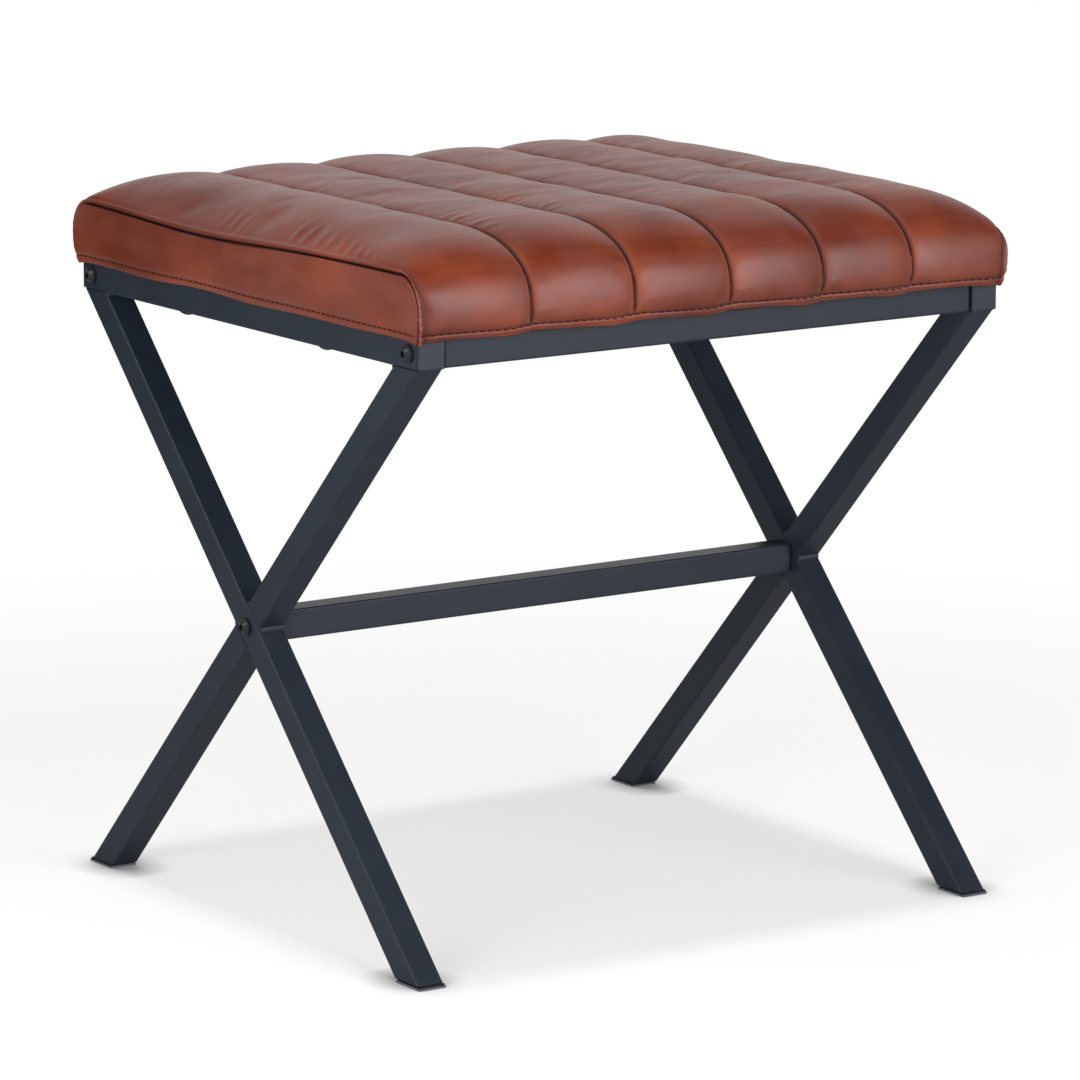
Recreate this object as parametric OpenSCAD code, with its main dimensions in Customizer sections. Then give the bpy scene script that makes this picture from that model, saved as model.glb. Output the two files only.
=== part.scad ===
// Upholstered stool on two X-shaped side frames of square steel tube.
// The stool stands on z = 0, centred on the origin. The long side of the seat runs
// along X, the channels of the cover run along Y, and the front faces -Y.

/* [Frame] */
// Width over the outer faces of the two side frames
frame_w = 460; // [360:5:700]
// Depth over the end caps of the side rails
frame_d = 420; // [340:5:600]
// Height of the underside of the top rails
rail_z = 402; // [300:1:600]
// Side of the square steel tube
tube = 20; // [18:1:25]
// Wall of the steel tube
tube_wall = 1.2; // [1:0.1:2]
// Outside corner radius of the steel tube
tube_corner = 1.5; // [0.5:0.1:3]
// How far a foot reaches out past the end of its rail tube
foot_reach = 2; // [0:0.5:8]

/* [Plastic end caps and foot plugs] */
// Flange of the caps in the open ends of the side rails
cap_flange = 2.5; // [1.5:0.1:4]
// Corner radius of the cap flange
cap_corner = 2; // [1:0.1:3]
// Rounding of the flange's outer edge
cap_edge = 1.2; // [0.4:0.1:1.4]
// Length of the cap inside the tube
cap_body = 6; // [3:0.5:6]
// Thickness of the sole of the plugs in the lower leg ends
foot_sole = 1.5; // [1:0.1:4]
// Height of the narrower step on the sole, on which the leg's end rests
foot_step = 1.2; // [0.5:0.1:2]
// How far that step lies back from the faces of the leg
foot_step_in = 0.6; // [0.2:0.1:0.8]
// Length of the foot plug inside the leg
foot_body = 18; // [8:1:30]
// Gap all round between a plug and the bore of its tube
plug_play = 0.1; // [0.05:0.05:0.3]

/* [Bolted joints] */
// Thickness of the threaded plates in the ends of the cross tubes
plate_t = 3; // [2:0.5:5]
// How far such a plate stands out of its tube
plate_proud = 1.5; // [0.5:0.1:2]
// Diameter of the threaded boss behind the plate
boss_d = 10; // [9:0.5:14]
// Length of the threaded boss behind the plate
boss_len = 8; // [6:0.5:12]
// Thread diameter of the frame bolts
bolt_d = 6; // [5:0.5:8]
// Length of a bolt under its head
bolt_len = 30; // [28:1:32]
// Diameter of the button head
bolt_head_d = 10.5; // [9:0.5:11.5]
// Height of the button head
bolt_head_h = 3.3; // [2.5:0.1:4]
// Width across the flats of the hexagon socket
socket_af = 4; // [3:0.5:5]
// Depth of the hexagon socket
socket_depth = 2; // [1:0.1:2.2]
// Outside diameter of the bolt washers
washer_d = 12; // [11:0.5:14]
// Thickness of the bolt washers
washer_t = 1.6; // [1:0.1:2]
// Gap all round between a bolt and the holes that it passes
hole_play = 0.2; // [0.1:0.05:0.5]
// Gap all round between a bolt and its thread
thread_play = 0.05; // [0.02:0.01:0.1]

/* [Seat fixing] */
// Distance between the two seat screws of one side rail
screw_pitch = 174; // [100:2:260]
// Thread diameter of the seat screws
screw_d = 6; // [5:0.5:8]
// Length of a seat screw under its head
screw_len = 30; // [28:1:31]
// Diameter of the low round head
screw_head_d = 14; // [12:0.5:16]
// Height of the low round head
screw_head_h = 3.6; // [2.5:0.1:4]
// Width of the slots of the cross recess
recess_w = 1.4; // [1:0.1:2]
// Length of the slots of the cross recess
recess_l = 5; // [3:0.5:6]
// Depth of the cross recess
recess_depth = 1.6; // [1:0.1:2]
// Outside diameter of the threaded inserts in the board
insert_d = 9; // [8.5:0.5:12]
// Length of the threaded inserts in the board
insert_len = 10; // [8:0.5:11]

/* [Seat] */
// Thickness of the black cloth under the board
cloth_t = 0.8; // [0.4:0.1:1.5]
// Thickness of the plywood board
board_t = 12; // [12:0.5:18]
// Corner radius of the board in plan
board_corner = 8; // [3:1:20]
// Rounding of the foam along the front and the back
foam_long_r = 50; // [40:1:60]
// Rounding of the foam along the two ends
foam_end_r = 35; // [30:1:45]

/* [Cover] */
// Thickness of the quilted cover on top of the foam, at its channel seams
quilt_t = 8.7; // [5:0.1:10]
// How far the side seams stand out past the side frames
cover_side = 5; // [4:0.5:10]
// How far the front and back of the cover stand out past the end caps
cover_front = 7; // [6:0.5:12]
// How far the hem hangs down below the top of the rails
hem_drop = 1.5; // [0.5:0.1:4]
// Height of the cover's widest line above the rails
widest_h = 15; // [10:1:20]
// How much the front and back draw in from there to the hem
hem_in = 4; // [1:0.5:4]
// How much the two ends draw in from there to the hem
hem_end_in = 2; // [0.5:0.5:2]
// Height of the channel seams above the rails, in the middle of the seat
crown_h = 58.5; // [56:0.5:75]
// Height of the left side seam above the rails
left_seam_h = 41; // [34:0.5:50]
// Height of the right side seam above the rails, where the cover sits lower
right_seam_h = 34; // [34:0.5:50]
// Length over which the front and back round up to the crown
crown_round = 84; // [60:1:100]
// Length over which the left side seam rounds down at its corners
left_corner = 22; // [12:1:40]
// Length over which the right side seam rounds down at its corners
right_corner = 33; // [12:1:40]
// How far a channel swells above its two seams on top
channel_rise = 5.5; // [1:0.5:9]
// How far a channel swells past its two seams at the front and back
channel_swell = 3.5; // [0:0.5:5]
// How far the side panels swell outwards
panel_swell = 1.5; // [0:0.5:3]
// Width of the top panel's edge that laps round a side panel
seam_lap = 1.3; // [1:0.1:2]
// Gap between the soft pieces and what they cover
soft_gap = 0.3; // [0.2:0.05:0.5]

/* [Hidden] */
$fn = 48;
// Overrun of every cut past the face that it opens
overrun = tube / 2;
rail_top = rail_z + tube;
tube_bore = tube - 2 * tube_wall;
side_x = (frame_w - tube) / 2;
rail_end = frame_d / 2 - cap_flange;
rail_y = rail_end - tube / 2;
rail_mid_z = rail_z + tube / 2;
cross_len = frame_w - 2 * tube - 2 * plate_proud;

// A leg leans by lean for each unit of height. Its outer edges meet the end of the
// rail tube at the top and reach foot_reach past it on the floor.
foot_end = rail_end + foot_reach;
span = rail_end + foot_end;
lean = (span * rail_z - tube * sqrt(span * span + rail_z * rail_z - tube * tube))
    / (rail_z * rail_z - tube * tube);
lean_angle = atan(lean);
leg_half = tube / 2 * sqrt(1 + lean * lean);
foot_y = foot_end - leg_half;
cross_z = foot_y / lean;
leg_len = 2 * (rail_z + span);
foot_top = foot_sole + foot_step;

cloth_z = rail_top;
board_z = cloth_z + cloth_t;
foam_z = board_z + board_t;

hem_z = rail_top - hem_drop;
widest_z = rail_top + widest_h;
crown_z = rail_top + crown_h;
foam_top = crown_z - quilt_t;
cover_w = frame_w + 2 * cover_side;
cover_half_d = frame_d / 2 + cover_front;
inner_x = frame_w / 2 + soft_gap;
inner_y = frame_d / 2 + soft_gap;

// Seams of the six channels, as shares of the width between the side seams
seam_shares = [0, 0.184, 0.354, 0.515, 0.673, 0.828, 1];
// Places across one channel, as shares of half its width
across_shares = [-1, -0.82, -0.45, 0, 0.45, 0.82];
// Places down the drawn-in lower part, as shares of its height
hem_shares = [1, 0.66, 0.33];
// Rows across half a side panel, as shares of its half length
panel_shares = [-1, -0.85, -0.5, 0, 0.5, 0.85, 1];
round_steps = 9;
channel_power = 2.2;
end_power = 0.9;
hem_power = 2;

left = -1;
right = 1;
front = -1;
back = 1;
steel = "#2f353b";
plastic = "#25282b";
hardware = "#15171a";
leather = "#8a4630";

// Square with its four corners rounded
module rounded_square(size, corner) {
    flat = size - 2 * corner;
    square([size, flat], center = true);
    square([flat, size], center = true);
    for (x = [-1, 1], y = [-1, 1])
        translate([x * flat / 2, y * flat / 2]) circle(r = corner);
}

// Square tube along Z, centred on the origin
module square_tube(length) {
    linear_extrude(length, center = true)
        difference() {
            rounded_square(tube, tube_corner);
            square(tube_bore, center = true);
        }
}

// Round hole along X through a side frame, at a place in its plane
module cross_hole(side, y, z, d) {
    translate([side * side_x, y, z])
        rotate([0, 90, 0]) cylinder(h = tube + 2 * overrun, d = d, center = true);
}

// Rail of a side frame along Y, bolted to the cross rails and screwed to the seat
module side_rail(side) {
    color(steel)
        difference() {
            translate([side * side_x, 0, rail_mid_z])
                rotate([90, 0, 0]) square_tube(2 * rail_end);
            for (end = [front, back]) {
                cross_hole(side, end * rail_y, rail_mid_z, bolt_d + 2 * hole_play);
                translate([side * side_x, end * screw_pitch / 2, rail_mid_z])
                    cylinder(h = tube + 2 * overrun, d = screw_d + 2 * hole_play, center = true);
            }
        }
}

// Rail along X between the side frames, at the front or the back
module cross_rail(end) {
    color(steel)
        translate([0, end * rail_y, rail_mid_z])
            rotate([0, 90, 0]) square_tube(cross_len);
}

module stretcher() {
    color(steel)
        translate([0, 0, cross_z])
            rotate([0, 90, 0]) square_tube(cross_len);
}

// Frame of reference of a leg: Z runs up along it, the origin is the crossing.
// A through leg leans back (turn 1), the two half legs lean forward (turn -1).
module along_leg(side, turn) {
    translate([side * side_x, 0, cross_z])
        rotate([-turn * lean_angle, 0, 0]) children();
}

// Slab between two heights that trims the slanted legs level
module level_slab(side, low, high) {
    translate([side * side_x - tube, -span, low])
        cube([2 * tube, 2 * span, high - low]);
}

// Square tube leg, cut level under the rail and on the step of its plug
module leg(side, turn) {
    intersection() {
        along_leg(side, turn) square_tube(leg_len);
        level_slab(side, foot_top, rail_z);
    }
}

module through_leg(side) {
    color(steel)
        difference() {
            leg(side, 1);
            cross_hole(side, 0, cross_z, bolt_d + 2 * hole_play);
        }
}

// Half of the other leg, cut where it meets the side of the through leg
module half_leg(side, half) {
    color(steel)
        difference() {
            leg(side, -1);
            along_leg(side, 1)
                translate([-leg_len / 2, (half > 0 ? -leg_len : 0) + half * tube / 2, -leg_len / 2])
                    cube(leg_len);
        }
}

// Side view of the cap flange: flat below, with its two upper corners rounded
module flange_profile() {
    flat = tube - 2 * cap_edge;
    translate([-tube / 2, 0]) square([tube, cap_flange - cap_edge]);
    translate([-flat / 2, 0]) square([flat, cap_flange]);
    for (x = [-1, 1]) translate([x * flat / 2, cap_flange - cap_edge]) circle(r = cap_edge);
}

// Flange of a cap on the plane z = 0, with rounded corners and a rounded outer edge
module flange() {
    intersection() {
        linear_extrude(cap_flange) rounded_square(tube, cap_corner);
        rotate([90, 0, 0]) linear_extrude(tube, center = true) flange_profile();
        rotate([90, 0, 90]) linear_extrude(tube, center = true) flange_profile();
    }
}

// Cap in the open end of a side rail
module end_cap(side, end) {
    body = tube_bore - 2 * plug_play;
    color(plastic)
        translate([side * side_x, end * rail_end, rail_mid_z])
            rotate([-end * 90, 0, 0]) {
                flange();
                translate([0, 0, -cap_body])
                    linear_extrude(cap_body) square(body, center = true);
            }
}

// Level plate under a leg, with its faces drawn back from those of the leg
module foot_plate(side, end, low, high, back_by) {
    w = tube - 2 * back_by;
    d = 2 * (leg_half - back_by);
    translate([side * side_x - w / 2, end * foot_y - d / 2, low]) cube([w, d, high - low]);
}

// Plug in the level lower end of a leg: a flat sole, a narrower step and a slanted body
module foot_plug(side, end) {
    body = tube_bore - 2 * plug_play;
    color(plastic) {
        foot_plate(side, end, 0, foot_sole, 0);
        foot_plate(side, end, foot_sole, foot_top, foot_step_in);
        intersection() {
            along_leg(side, -end)
                linear_extrude(leg_len, center = true) square(body, center = true);
            level_slab(side, foot_top, foot_top + foot_body);
        }
    }
}

// Threaded plate with a boss behind it, in the end of a cross tube
module end_plate(side, y, z) {
    size = tube_bore - 2 * plug_play;
    translate([side * (frame_w / 2 - tube), y, z])
        rotate([0, side * 90, 0])
            difference() {
                union() {
                    translate([0, 0, -plate_t])
                        linear_extrude(plate_t) square(size, center = true);
                    translate([0, 0, -plate_t - boss_len])
                        cylinder(h = boss_len, d = boss_d);
                }
                translate([0, 0, -plate_t - boss_len - overrun])
                    cylinder(h = plate_t + boss_len + 2 * overrun, d = bolt_d + 2 * thread_play);
            }
}

module rail_end_plates() {
    color(hardware)
        for (side = [left, right], end = [front, back])
            end_plate(side, end * rail_y, rail_mid_z);
}

module stretcher_end_plates() {
    color(hardware)
        for (side = [left, right]) end_plate(side, 0, cross_z);
}

// Low domed head on the plane z = 0
module domed_head(d, h) {
    ball = (d * d / 4 + h * h) / (2 * h);
    intersection() {
        cylinder(h = h, d = d);
        translate([0, 0, h - ball]) sphere(r = ball, $fn = 64);
    }
}

// Button head bolt with its washer side on the plane z = 0, along Z
module button_bolt() {
    difference() {
        domed_head(bolt_head_d, bolt_head_h);
        translate([0, 0, bolt_head_h - socket_depth])
            cylinder(h = socket_depth + overrun, d = socket_af / cos(30), $fn = 6);
    }
    translate([0, 0, -bolt_len]) cylinder(h = bolt_len, d = bolt_d);
}

// Puts a fastener on the outer face of a side frame
module outside(side, y, z, lift) {
    translate([side * (frame_w / 2 + lift), y, z]) rotate([0, side * 90, 0]) children();
}

module rail_bolts() {
    color(hardware)
        for (side = [left, right], end = [front, back])
            outside(side, end * rail_y, rail_mid_z, washer_t) button_bolt();
}

module stretcher_bolts() {
    color(hardware)
        for (side = [left, right]) outside(side, 0, cross_z, washer_t) button_bolt();
}

module bolt_washer() {
    difference() {
        cylinder(h = washer_t, d = washer_d);
        translate([0, 0, -overrun])
            cylinder(h = washer_t + 2 * overrun, d = bolt_d + 2 * hole_play);
    }
}

module bolt_washers() {
    color(hardware)
        for (side = [left, right]) {
            outside(side, 0, cross_z, 0) bolt_washer();
            for (end = [front, back])
                outside(side, end * rail_y, rail_mid_z, 0) bolt_washer();
        }
}

// Calls its children at each of the four seat screws, on the height z
module at_seat_screws(z) {
    for (side = [left, right], end = [front, back])
        translate([side * side_x, end * screw_pitch / 2, z]) children();
}

module seat_screws() {
    color(hardware)
        at_seat_screws(rail_z) {
            mirror([0, 0, 1])
                difference() {
                    domed_head(screw_head_d, screw_head_h);
                    translate([0, 0, screw_head_h - recess_depth])
                        linear_extrude(recess_depth + overrun) {
                            square([recess_l, recess_w], center = true);
                            square([recess_w, recess_l], center = true);
                        }
                }
            cylinder(h = screw_len, d = screw_d);
        }
}

module seat_inserts() {
    color("#9a958a")
        at_seat_screws(board_z)
            difference() {
                cylinder(h = insert_len, d = insert_d);
                translate([0, 0, -overrun])
                    cylinder(h = insert_len + 2 * overrun, d = screw_d + 2 * thread_play);
            }
}

// Flat rectangle with rounded corners, as large as the frame
module seat_plan(corner) {
    w = frame_w - 2 * corner;
    d = frame_d - 2 * corner;
    square([frame_w, d], center = true);
    square([w, frame_d], center = true);
    for (x = [-1, 1], y = [-1, 1])
        translate([x * w / 2, y * d / 2]) circle(r = corner);
}

module under_cloth() {
    color("#1c1c1e")
        difference() {
            translate([0, 0, cloth_z]) linear_extrude(cloth_t) seat_plan(board_corner);
            at_seat_screws(cloth_z - overrun)
                cylinder(h = cloth_t + 2 * overrun, d = screw_d + 2 * hole_play);
        }
}

module seat_board() {
    color("#c9a878")
        difference() {
            translate([0, 0, board_z]) linear_extrude(board_t) seat_plan(board_corner);
            at_seat_screws(board_z - overrun)
                cylinder(h = insert_len + overrun, d = insert_d + 2 * thread_play);
        }
}

// Section of the foam: flat below, with its two upper corners rounded by r
module foam_section(half, low, high, r) {
    intersection() {
        union() {
            translate([-half, low - r]) square([2 * half, high - low]);
            translate([r - half, low - r]) square([2 * (half - r), high - low + r]);
            for (x = [-1, 1]) translate([x * (half - r), high - r]) circle(r = r, $fn = 96);
        }
        translate([-half, low]) square([2 * half, high - low]);
    }
}

// Pillow block: the lengthwise and the crosswise section of the foam, one through the other
module foam_shape(gap, low) {
    high = foam_top + gap;
    intersection() {
        rotate([90, 0, 90])
            linear_extrude(frame_w + 2 * gap, center = true)
                foam_section(frame_d / 2 + gap, low, high, foam_long_r + gap);
        rotate([90, 0, 0])
            linear_extrude(frame_d + 2 * gap, center = true)
                foam_section(frame_w / 2 + gap, low, high, foam_end_r + gap);
    }
}

module foam_core() {
    color("#e8dfae") foam_shape(0, foam_z);
}

function seam_h(side) = side < 0 ? left_seam_h : right_seam_h;
function corner_round(side) = side < 0 ? left_corner : right_corner;
function seam_x(k) = cover_w * (seam_shares[k] - 0.5);
function channels() = len(seam_shares) - 1;
// Swell of a channel, 0 on its seams and 1 in its middle
function swell(s) = 1 - pow(abs(s), channel_power);
// Rise of the end channels, 0 on the side seam and 1 from the next seam on
function end_rise(x) =
    let (e = min(1, (x - seam_x(0)) / (seam_x(1) - seam_x(0)),
        (seam_x(channels()) - x) / (seam_x(channels()) - seam_x(channels() - 1))))
    pow(1 - pow(1 - max(0, e), 2), end_power / 2);
function mix(a, b, t) = a + (b - a) * t;

// Half of a section of the cover, from the hem up over the rounded shoulder:
// pairs of distance from the middle and height
function half_section(half, top, shoulder, draw) = concat(
    [for (w = hem_shares) [half - draw * pow(w, hem_power), mix(widest_z, hem_z, w)]],
    [for (i = [0 : round_steps]) let (a = 90 * i / round_steps)
        [half - shoulder * (1 - cos(a)), widest_z + (top - widest_z) * sin(a)]]);

// Half section at x, where s is the place across the channel from -1 to 1
function cover_section(x, s) =
    let (side = x < 0 ? left : right, rise = end_rise(x))
    half_section(cover_half_d + channel_swell * swell(s),
        mix(rail_top + seam_h(side), crown_z, rise) + channel_rise * swell(s),
        mix(corner_round(side), crown_round, rise),
        hem_in + channel_swell * swell(s) / 2);

// How far the ends have drawn in at a height, as a length
function end_draw(z) = hem_end_in * pow(max(0, (widest_z - z) / (widest_z - hem_z)), hem_power);

// One closed ring of points at x, from the front hem over the top to the back hem
function cover_ring(x, s) =
    let (half = cover_section(x, s), n = len(half), reach = 2 * x / cover_w)
    concat([for (p = half) [x - reach * end_draw(p[1]), -p[0], p[1]]],
        [for (i = [n - 1 : -1 : 0]) [x - reach * end_draw(half[i][1]), half[i][0], half[i][1]]]);

function rings() = concat(
    [for (k = [0 : channels() - 1], s = across_shares)
        cover_ring(mix(seam_x(k), seam_x(k + 1), (s + 1) / 2), s)],
    [cover_ring(seam_x(channels()), 1)]);

// Closed skin over a list of equal rings, with flat ends; the ring's first and last
// points lie on the open bottom, which the skin closes too
module ring_skin(list) {
    n = len(list[0]);
    m = len(list);
    points = [for (ring = list) each ring];
    skin = [for (i = [0 : m - 2], j = [0 : n - 1])
        let (a = i * n + j, b = i * n + (j + 1) % n, c = b + n, d = a + n)
        each [[a, b, c], [a, c, d]]];
    first = [for (j = [0 : n / 2 - 2])
        let (a = j, b = j + 1, c = n - 2 - j, d = n - 1 - j) each [[a, c, b], [a, d, c]]];
    last = [for (f = first) [for (v = [2, 1, 0]) f[v] + (m - 1) * n]];
    polyhedron(points, concat(skin, first, last));
}

// Outline of a side panel with a lap taken off all round, front to back
function panel_outline(side, lap) =
    let (half = half_section(cover_half_d, rail_top + seam_h(side), corner_round(side), hem_in))
    [for (p = half)
        let (z = p[1], lift = max(0, (z - widest_z) / seam_h(side)))
        [p[0] - lap, z - lap * lift]];

// Sewn side panel: flat inside, swelling a little outside
module side_panel(side) {
    outline = panel_outline(side, seam_lap);
    high = rail_top + seam_h(side);
    function bulge(t, z) = panel_swell * (1 - t * t) * sin(180 * (z - hem_z) / (high - hem_z));
    color(leather)
        mirror([side < 0 ? 1 : 0, 0, 0])
            panel_skin([for (p = outline)
                concat([for (t = panel_shares)
                    [cover_w / 2 - end_draw(p[1]) + max(0, bulge(t, p[1])), t * p[0], p[1]]],
                    [for (i = [len(panel_shares) - 1 : -1 : 0])
                        [inner_x, panel_shares[i] * p[0], p[1]]])]);
}

// Closed skin over level rows, each a ring of outer and inner points
module panel_skin(list) {
    n = len(list[0]);
    m = len(list);
    points = [for (ring = list) each ring];
    skin = [for (i = [0 : m - 2], j = [0 : n - 1])
        let (a = i * n + j, b = i * n + (j + 1) % n, c = b + n, d = a + n)
        each [[a, c, b], [a, d, c]]];
    low = [for (j = [0 : n / 2 - 2])
        let (a = j, b = j + 1, c = n - 2 - j, d = n - 1 - j) each [[a, b, c], [a, c, d]]];
    high = [for (f = low) [for (v = [2, 1, 0]) f[v] + (m - 1) * n]];
    polyhedron(points, concat(skin, low, high));
}

// Room for a side panel in the end of the top panel
module panel_room(side) {
    outline = panel_outline(side, seam_lap - soft_gap);
    n = len(outline);
    low = hem_z - overrun;
    points = concat([[-outline[0][0], low]], [for (p = outline) [-p[0], p[1]]],
        [for (i = [n - 1 : -1 : 0]) outline[i]], [[outline[0][0], low]]);
    mirror([side < 0 ? 1 : 0, 0, 0])
        translate([inner_x, 0, 0])
            rotate([90, 0, 90]) linear_extrude(cover_side + overrun) polygon(points);
}

// Top panel with its six sewn channels, running down the front and back to the hem
module channel_panel() {
    color(leather)
        difference() {
            ring_skin(rings());
            foam_shape(soft_gap, hem_z - overrun);
            panel_room(left);
            panel_room(right);
        }
}

side_rail(left);  // left_side_rail
side_rail(right);  // right_side_rail
cross_rail(front);  // front_rail
cross_rail(back);  // back_rail
stretcher();
through_leg(left);  // left_through_leg
half_leg(left, -1);  // left_upper_half_leg
half_leg(left, 1);  // left_lower_half_leg
through_leg(right);  // right_through_leg
half_leg(right, -1);  // right_upper_half_leg
half_leg(right, 1);  // right_lower_half_leg
end_cap(left, front);  // left_front_end_cap
end_cap(left, back);  // left_back_end_cap
end_cap(right, front);  // right_front_end_cap
end_cap(right, back);  // right_back_end_cap
foot_plug(left, front);  // left_front_foot_plug
foot_plug(left, back);  // left_back_foot_plug
foot_plug(right, front);  // right_front_foot_plug
foot_plug(right, back);  // right_back_foot_plug
rail_end_plates();
stretcher_end_plates();
rail_bolts();
stretcher_bolts();
bolt_washers();
seat_screws();
seat_inserts();
under_cloth();
seat_board();
foam_core();
side_panel(left);  // left_side_panel
side_panel(right);  // right_side_panel
channel_panel();
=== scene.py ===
from functools import partial
import math

import bpy
import numpy as np
from mathutils import Matrix, Vector


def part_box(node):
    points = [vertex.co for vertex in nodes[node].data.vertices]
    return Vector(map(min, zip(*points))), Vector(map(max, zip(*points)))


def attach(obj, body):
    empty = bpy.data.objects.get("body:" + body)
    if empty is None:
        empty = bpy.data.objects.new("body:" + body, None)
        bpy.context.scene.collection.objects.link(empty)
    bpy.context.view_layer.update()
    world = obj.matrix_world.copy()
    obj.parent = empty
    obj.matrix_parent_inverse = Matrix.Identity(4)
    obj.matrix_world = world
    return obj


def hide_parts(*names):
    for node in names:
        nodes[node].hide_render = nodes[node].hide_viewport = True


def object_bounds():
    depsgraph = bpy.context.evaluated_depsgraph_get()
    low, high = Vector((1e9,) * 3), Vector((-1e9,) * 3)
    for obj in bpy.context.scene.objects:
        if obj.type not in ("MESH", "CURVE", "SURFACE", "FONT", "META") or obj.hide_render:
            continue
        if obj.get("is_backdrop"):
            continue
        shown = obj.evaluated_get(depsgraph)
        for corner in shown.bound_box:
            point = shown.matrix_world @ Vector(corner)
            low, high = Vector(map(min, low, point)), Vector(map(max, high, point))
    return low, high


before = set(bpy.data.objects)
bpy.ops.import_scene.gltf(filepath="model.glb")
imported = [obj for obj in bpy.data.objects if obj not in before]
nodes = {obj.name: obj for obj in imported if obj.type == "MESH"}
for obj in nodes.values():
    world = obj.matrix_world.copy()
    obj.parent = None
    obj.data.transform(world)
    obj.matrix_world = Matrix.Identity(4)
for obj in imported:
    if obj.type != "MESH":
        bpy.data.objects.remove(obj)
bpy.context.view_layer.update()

# The viewpoint: a long lens some four metres away, 34 degrees to the left of the front and
# 11 degrees above the floor, aimed at the middle of the stool and turned a hair about its axis.
mm = 0.001
view_turn, view_rise, view_roll = (math.radians(a) for a in (-34.148, 11.043, 0.108))
view_target = Vector((4.4, 0, 235.3)) * mm
view_distance = 4261.9 * mm
back = Vector((math.sin(view_turn) * math.cos(view_rise),
               -math.cos(view_turn) * math.cos(view_rise), math.sin(view_rise)))
level = Vector((math.cos(view_turn), math.sin(view_turn), 0))
upright = back.cross(level)
across = level * math.cos(view_roll) + upright * math.sin(view_roll)
upward = upright * math.cos(view_roll) - level * math.sin(view_roll)
camera = bpy.data.objects.new("camera", bpy.data.cameras.new("camera"))
camera.data.sensor_width = 36
camera.data.lens = 208.785
camera.data.clip_end = 50
camera.matrix_world = Matrix.Translation(view_target + back * view_distance) \
    @ Matrix((across, upward, back)).transposed().to_4x4()
bpy.context.scene.collection.objects.link(camera)
bpy.context.scene.camera = camera

# Frame: rails, stretcher and crossed legs of 20 mm square steel tube, welded into two X-shaped
# side frames that the cross tubes are bolted between. Satin anthracite powder coat, baked on
# after welding: smooth, slightly bluish, with the faint orange peel of such a coat.


def tone(code):
    """Linear colour, with alpha, of an sRGB hex value: straight near black, else a power of 2.4."""
    parts = [int(code[i:i + 2], 16) / 255 for i in (1, 3, 5)]
    return [p / 12.92 if p <= 0.04045 else ((p + 0.055) / 1.055) ** 2.4 for p in parts] + [1]


def add_node(material, kind, inputs={}, **settings):
    """Adds a shader node of a kind: settings are its properties, and an input is a value, a hex
    colour or a (node, output) to link from."""
    made = material.node_tree.nodes.new("ShaderNode" + kind)
    for name, value in settings.items():
        setattr(made, name, value)
    for name, value in inputs.items():
        if isinstance(value, tuple) and isinstance(value[0], bpy.types.Node):
            material.node_tree.links.new(value[0].outputs[value[1]], made.inputs[name])
        else:
            made.inputs[name].default_value = tone(value) if isinstance(value, str) else value
    return made


def new_material(name):
    """Empty node material, the function that adds a node to it, and the output that its patterns
    are placed by: Object coordinates."""
    material = bpy.data.materials.new(name)
    material.use_nodes = True
    material.node_tree.nodes.clear()
    add = partial(add_node, material)
    return material, add, (add("TexCoord"), "Object")


def powder_coated_steel():
    """Satin polyester powder coat: even colour, and an orange peel of 2 mm that blurs highlights."""
    material, add, place = new_material("powder_coated_steel_satin")
    peel = add("TexNoise", {"Vector": place, "Scale": 1 / (2 * mm), "Detail": 2.0})
    bump = add("Bump", {"Strength": 0.12, "Distance": 0.05 * mm, "Height": (peel, "Fac"),
               "Normal": (add("Bevel", {"Radius": 0.8 * mm}, samples=4), "Normal")})
    cloud = add("TexNoise", {"Vector": place, "Scale": 1 / (45 * mm), "Detail": 3.0})
    shade = add("Mix", {0: (cloud, "Fac"), 6: "#1a222b", 7: "#242d37"}, data_type="RGBA")
    haze = add("MapRange", {"Value": (cloud, "Fac"), "To Min": 0.4, "To Max": 0.5})
    surface = add("BsdfPrincipled", {"Base Color": (shade, 2), "Roughness": (haze, "Result"),
                  "Specular IOR Level": 0.4, "Normal": (bump, "Normal")})
    add("OutputMaterial", {"Surface": (surface, 0)})
    return material


def dress(material, *names):
    """Puts a material on CAD pieces."""
    for name in names:
        for place in nodes[name].material_slots:
            place.material = material


steel = powder_coated_steel()
sides = ("left", "right")
dress(steel, "front_rail", "back_rail", "stretcher", *(f"{s}_{piece}" for s in sides for piece in
      ("side_rail", "through_leg", "upper_half_leg", "lower_half_leg")))

# Weld beads: fillets laid into the corners where the half legs meet the through leg and where
# the leg tops meet the rail, ground flush on the outer faces and coated with the frame.


def box_size(name, axis):
    """Length of a CAD piece along an axis."""
    low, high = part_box(name)
    return high[axis] - low[axis]


tube = box_size("front_rail", 1)
rail_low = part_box("left_side_rail")[0].z
cross_low, cross_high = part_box("stretcher")
cross_z = (cross_low.z + cross_high.z) / 2
foot_edge = -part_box("left_front_foot_plug")[0].y
half_tube = tube / 2
# The legs' lean, as run over rise: that at which the outer face of a leg through the crossing
# meets the floor at the foot's edge.
lean = (foot_edge * cross_z - half_tube * math.sqrt(foot_edge ** 2 + cross_z ** 2 - half_tube ** 2)) \
    / (cross_z ** 2 - half_tube ** 2)
lean_angle = math.atan(lean)
bead_size = 3.2 * mm
bead_pitch = 2.4 * mm


def make_mesh(name, points, faces, material):
    """Smooth object at the origin with these points, in metres, and faces."""
    mesh = bpy.data.meshes.new(name)
    mesh.from_pydata(np.reshape(points, (-1, 3)).tolist(), [], faces)
    mesh.materials.append(material)
    mesh.polygons.foreach_set("use_smooth", np.ones(len(mesh.polygons), bool))
    made = bpy.data.objects.new(name, mesh)
    bpy.context.scene.collection.objects.link(made)
    return made


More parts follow.
